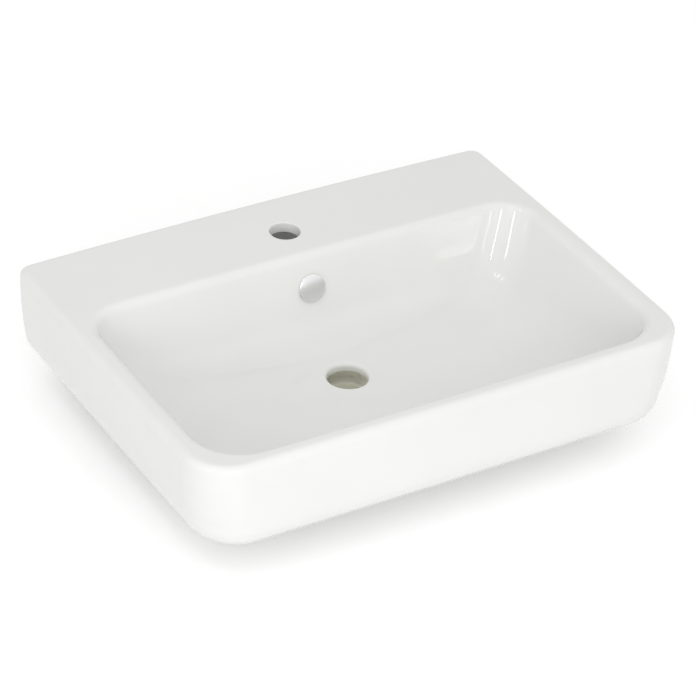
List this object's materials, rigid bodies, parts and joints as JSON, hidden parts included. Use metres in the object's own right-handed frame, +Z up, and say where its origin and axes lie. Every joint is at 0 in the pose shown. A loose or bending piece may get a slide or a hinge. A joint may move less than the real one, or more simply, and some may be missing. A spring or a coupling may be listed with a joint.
{
  "type": "washbasin",
  "caption": "Wall-hung rectangular washbasin with rounded front corners, a flat tap deck, a deep rectangular bowl with a drain hole, and a round overflow cover.",
  "frame": {"origin": "on the wall plane at the basin's back, midway between the two wall fixing holes", "axes": "+X to the basin's left as it looks out from the wall, which is the user's right; +Y into the wall; +Z up"},
  "size_m": [0.5998, 0.44, 0.1529],
  "materials": {
    "glazed_china": "gloss",
    "plated_face": "polished",
    "carrier_plastic": "satin",
    "ring_rubber": "matte"
  },
  "bodies": {
    "basin": {"basin_body": "glazed_china"},
    "overflow_cover": {"overflow_cap": "plated_face", "overflow_bush": "carrier_plastic", "overflow_seal": "ring_rubber"}
  },
  "joints": [
    {"name": "overflow_cover_pull", "type": "slide", "parent": "basin", "child": "overflow_cover", "axis": [0, -0.9511, 0.309], "range_m": [0, 0.03]}
  ]
}
